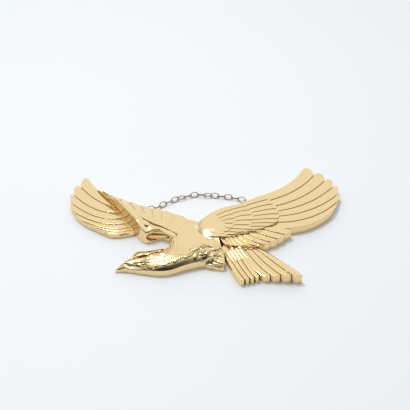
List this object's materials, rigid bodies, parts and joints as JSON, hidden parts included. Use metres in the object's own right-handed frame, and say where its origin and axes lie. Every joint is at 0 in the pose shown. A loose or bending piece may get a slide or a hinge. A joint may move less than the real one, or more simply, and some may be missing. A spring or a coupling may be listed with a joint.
{
  "type": "eagle wall plaque",
  "caption": "Cast brass relief of a flying eagle, flat on the wall side, with a light hanging chain between its wings.",
  "frame": {"origin": "on the flat back that rests on the wall, under the middle of the bird", "axes": "+X along the spread wings towards the wing tip on the tail's side, +Y towards the chain, up on the wall, +Z away from the wall"},
  "size_m": [0.4184, 0.2494, 0.033],
  "materials": {
    "polished_brass": "polished cast brass with darker grooves",
    "chain_metal": "dull coppery brass wire"
  },
  "bodies": {
    "root": {"eagle_casting": "polished_brass", "chain_link_01": "chain_metal", "chain_link_02": "chain_metal", "chain_link_03": "chain_metal", "chain_link_04": "chain_metal", "chain_link_05": "chain_metal", "chain_link_06": "chain_metal", "chain_link_07": "chain_metal", "chain_link_08": "chain_metal", "chain_link_09": "chain_metal", "chain_link_10": "chain_metal", "chain_link_11": "chain_metal", "chain_link_12": "chain_metal", "chain_link_13": "chain_metal", "chain_link_14": "chain_metal", "chain_link_15": "chain_metal", "chain_link_16": "chain_metal"}
  },
  "joints": []
}
